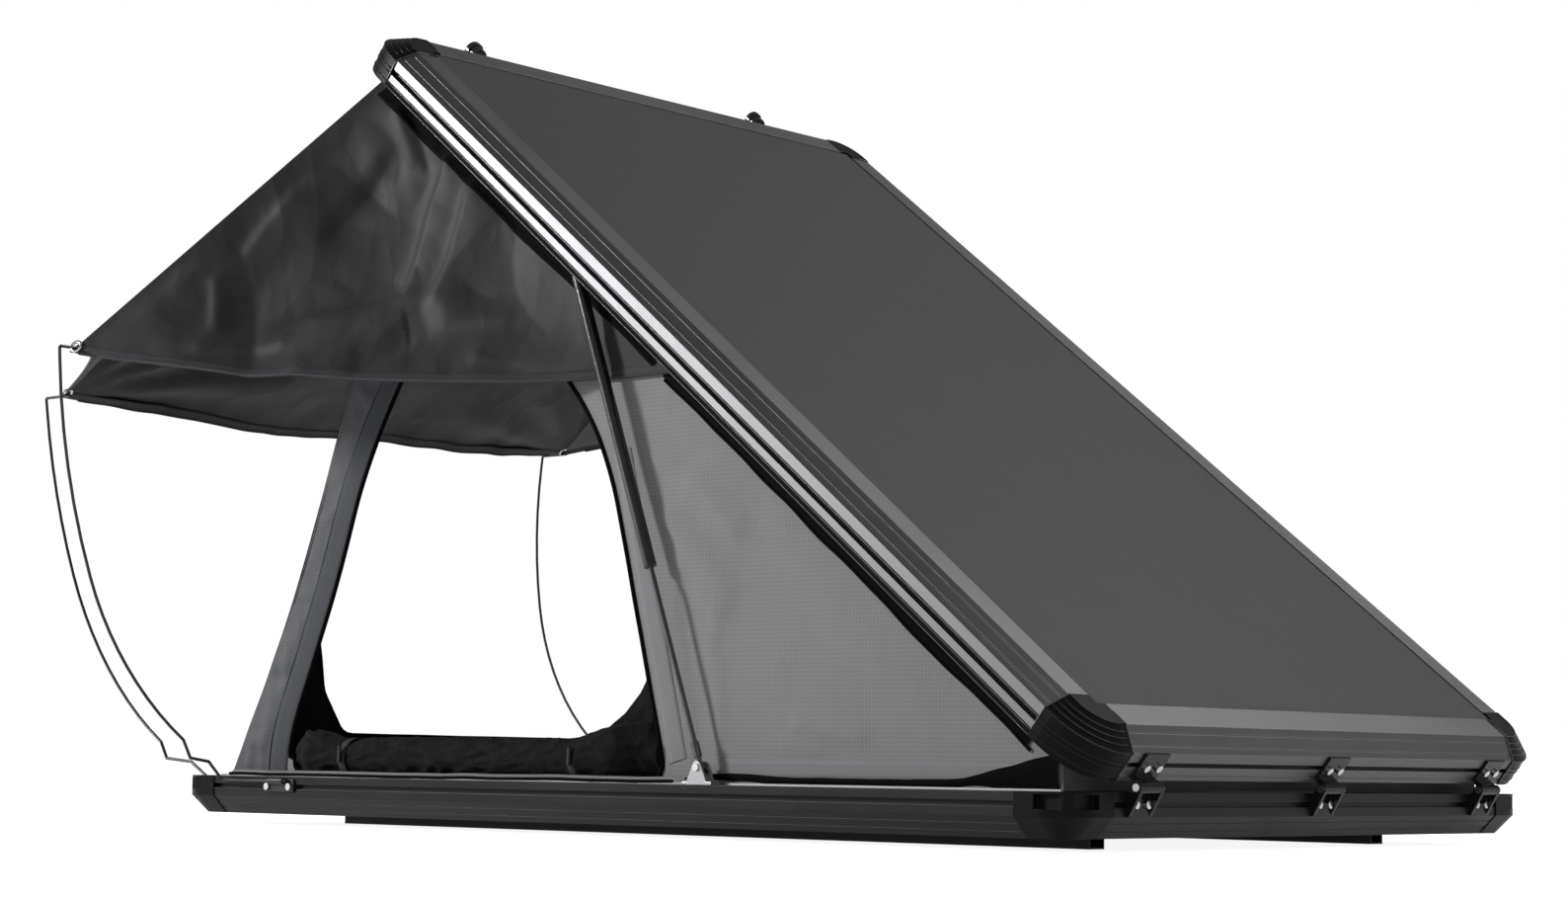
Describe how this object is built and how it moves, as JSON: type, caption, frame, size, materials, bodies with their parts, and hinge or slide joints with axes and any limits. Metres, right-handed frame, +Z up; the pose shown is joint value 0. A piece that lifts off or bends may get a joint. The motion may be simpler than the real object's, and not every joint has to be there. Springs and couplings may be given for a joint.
{
  "type": "roof top tent",
  "caption": "Hard shell roof top tent shown open: a low tray on roof rails, a lid tipped up on end hinges and gas struts, grey fabric walls, rolled doors and a poled awning.",
  "frame": {"origin": "centre of the four clamp slots, in the plane of the roof rails' undersides", "axes": "+X from the open end to the hinge end, +Y from the pictured side to the far side, +Z up"},
  "size_m": [2.635, 2.088, 1.5093],
  "materials": {
    "frame_black": "satin black powder coat",
    "casting_black": "matt black powder coat over a cast corner",
    "floor_board": "sealed board",
    "rack_rail": "matt black powder coat",
    "bright_steel": "bright zinc",
    "mattress_cover": "woven grey cover over foam",
    "keder_silver": "mill finish",
    "hinge_black": "gloss black",
    "bracket_black": "satin black",
    "wall_cloth": "grey ripstop canvas",
    "roll_cloth": "black rolled cloth",
    "tie_web": "black webbing with plastic toggles",
    "lid_sheet": "textured dark grey composite sheet",
    "liner_felt": "quilted grey lining",
    "seal_rubber": "black rubber",
    "piston_steel": "dark nitrided steel",
    "strut_black": "gloss black",
    "awning_cloth": "dark coated canvas",
    "pole_black": "black coated spring steel"
  },
  "bodies": {
    "base": {"base_rail_near": "frame_black", "base_rail_far": "frame_black", "base_rail_hinge": "frame_black", "base_rail_open": "frame_black", "base_corners": "casting_black", "base_floor": "floor_board", "mount_rail_near": "rack_rail", "mount_rail_far": "rack_rail", "floor_bolts": "bright_steel", "mattress": "mattress_cover", "keder_rails": "keder_silver", "hinge_base_leaves": "hinge_black", "hinge_pins": "bright_steel", "base_bolts": "bright_steel", "pole_holders": "bracket_black", "strut_feet": "bright_steel", "strut_pins": "bright_steel", "latch_keepers": "bracket_black", "wall_near": "wall_cloth", "wall_far": "wall_cloth", "wall_front": "wall_cloth", "wall_hinge_end": "wall_cloth", "door_roll_near": "roll_cloth", "door_roll_far": "roll_cloth", "door_roll_front": "roll_cloth", "door_ties": "tie_web"},
    "lid": {"lid_rail_near": "frame_black", "lid_rail_far": "frame_black", "lid_rail_hinge": "frame_black", "lid_rail_open": "frame_black", "lid_corners": "casting_black", "lid_panel": "lid_sheet", "lid_liner": "liner_felt", "lid_seal": "seal_rubber", "hinge_lid_leaves": "hinge_black", "lid_bolts": "bright_steel", "strut_lid_brackets": "hinge_black", "latch_plates": "bracket_black", "latch_pins": "bright_steel", "latch_knobs": "bracket_black"},
    "strut_rod_near": {"strut_rod_near": "piston_steel"},
    "strut_tube_near": {"strut_tube_near": "strut_black"},
    "strut_rod_far": {"strut_rod_far": "piston_steel"},
    "strut_tube_far": {"strut_tube_far": "strut_black"},
    "latch_lever_near": {"latch_lever_near": "bracket_black"},
    "latch_lever_far": {"latch_lever_far": "bracket_black"},
    "awning_front": {"awning_front": "awning_cloth"},
    "awning_wing_near": {"awning_wing_near": "awning_cloth"},
    "awning_wing_far": {"awning_wing_far": "awning_cloth"},
    "awning_gore_near": {"awning_gore_near": "awning_cloth"},
    "awning_gore_far": {"awning_gore_far": "awning_cloth"},
    "pole_side_near": {"pole_side_near": "pole_black"},
    "pole_side_far": {"pole_side_far": "pole_black"},
    "pole_end_near": {"pole_end_near": "pole_black"},
    "pole_end_far": {"pole_end_far": "pole_black"}
  },
  "joints": [
    {"name": "lid_hinge", "type": "hinge", "parent": "base", "child": "lid", "pos_m": [1.083, 0, 0.097], "axis": [0, 1, 0], "range_deg": [-38.5, 0], "stiffness_Nm_per_rad": 820, "springref_deg": 24.75, "deforming": ["wall_near", "wall_far", "wall_front", "wall_hinge_end", "door_roll_near", "door_roll_far", "door_roll_front", "door_ties", "awning_front", "awning_wing_near", "awning_wing_far", "awning_gore_near", "awning_gore_far"]},
    {"name": "strut_swing_near", "type": "hinge", "parent": "base", "child": "strut_rod_near", "pos_m": [0.285, -0.643, 0.118], "axis": [0, 1, 0], "range_deg": [-68.55, 0]},
    {"name": "strut_stroke_near", "type": "slide", "parent": "strut_rod_near", "child": "strut_tube_near", "axis": [-0.3477, 0, 0.9376], "range_m": [-0.30443, 0]},
    {"name": "latch_turn_near", "type": "hinge", "parent": "lid", "child": "latch_lever_near", "pos_m": [-0.59732, -0.4, 1.45595], "axis": [0, 1, 0], "range_deg": [-10, 90]},
    {"name": "strut_swing_far", "type": "hinge", "parent": "base", "child": "strut_rod_far", "pos_m": [0.285, 0.643, 0.118], "axis": [0, 1, 0], "range_deg": [-68.55, 0]},
    {"name": "strut_stroke_far", "type": "slide", "parent": "strut_rod_far", "child": "strut_tube_far", "axis": [-0.3477, 0, 0.9376], "range_m": [-0.30443, 0]},
    {"name": "latch_turn_far", "type": "hinge", "parent": "lid", "child": "latch_lever_far", "pos_m": [-0.59732, 0.4, 1.45595], "axis": [0, 1, 0], "range_deg": [-10, 90]},
    {"name": "awning_front_fold", "type": "hinge", "parent": "lid", "child": "awning_front", "pos_m": [-0.58183, 0, 1.41871], "axis": [0, 1, 0], "range_deg": [-108.9, 0]},
    {"name": "awning_wing_fold_near", "type": "hinge", "parent": "lid", "child": "awning_wing_near", "pos_m": [-0.55815, -0.6213, 1.40882], "axis": [0.7826, 0, -0.6225], "range_deg": [0, 119.4]},
    {"name": "awning_gore_fold_near", "type": "hinge", "parent": "awning_wing_near", "child": "awning_gore_near", "pos_m": [-0.55815, -0.6213, 1.40882], "axis": [-0.551, -0.4901, -0.6754], "range_deg": [0, 130.05]},
    {"name": "awning_wing_fold_far", "type": "hinge", "parent": "lid", "child": "awning_wing_far", "pos_m": [-0.55815, 0.6213, 1.40882], "axis": [0.7826, 0, -0.6225], "range_deg": [-119.4, 0]},
    {"name": "awning_gore_fold_far", "type": "hinge", "parent": "awning_wing_far", "child": "awning_gore_far", "pos_m": [-0.55815, 0.6213, 1.40882], "axis": [-0.551, 0.4901, -0.6754], "range_deg": [-130.05, 0]},
    {"name": "pole_side_pull_near", "type": "slide", "parent": "base", "child": "pole_side_near", "axis": [-1, 0, 0], "range_m": [0, 0.08], "deforming": ["awning_wing_near", "awning_gore_near"]},
    {"name": "pole_end_pull_near", "type": "slide", "parent": "base", "child": "pole_end_near", "axis": [0, -1, 0], "range_m": [0, 0.08], "deforming": ["awning_front", "awning_gore_near"]},
    {"name": "pole_side_pull_far", "type": "slide", "parent": "base", "child": "pole_side_far", "axis": [-1, 0, 0], "range_m": [0, 0.08], "deforming": ["awning_wing_far", "awning_gore_far"]},
    {"name": "pole_end_pull_far", "type": "slide", "parent": "base", "child": "pole_end_far", "axis": [0, 1, 0], "range_m": [0, 0.08], "deforming": ["awning_front", "awning_gore_far"]}
  ],
  "couplings": [
    {"joint": "strut_swing_near", "follows": "lid_hinge", "ratio": 1.7791},
    {"joint": "strut_stroke_near", "follows": "lid_hinge", "m_per_rad": 0.45231},
    {"joint": "strut_swing_far", "follows": "lid_hinge", "ratio": 1.7791},
    {"joint": "strut_stroke_far", "follows": "lid_hinge", "m_per_rad": 0.45231},
    {"joint": "awning_front_fold", "follows": "lid_hinge", "ratio": 2.8273},
    {"joint": "awning_wing_fold_near", "follows": "lid_hinge", "ratio": -3.0999},
    {"joint": "awning_gore_fold_near", "follows": "lid_hinge", "ratio": -3.3766},
    {"joint": "awning_wing_fold_far", "follows": "lid_hinge", "ratio": 3.0999},
    {"joint": "awning_gore_fold_far", "follows": "lid_hinge", "ratio": 3.3766}
  ]
}
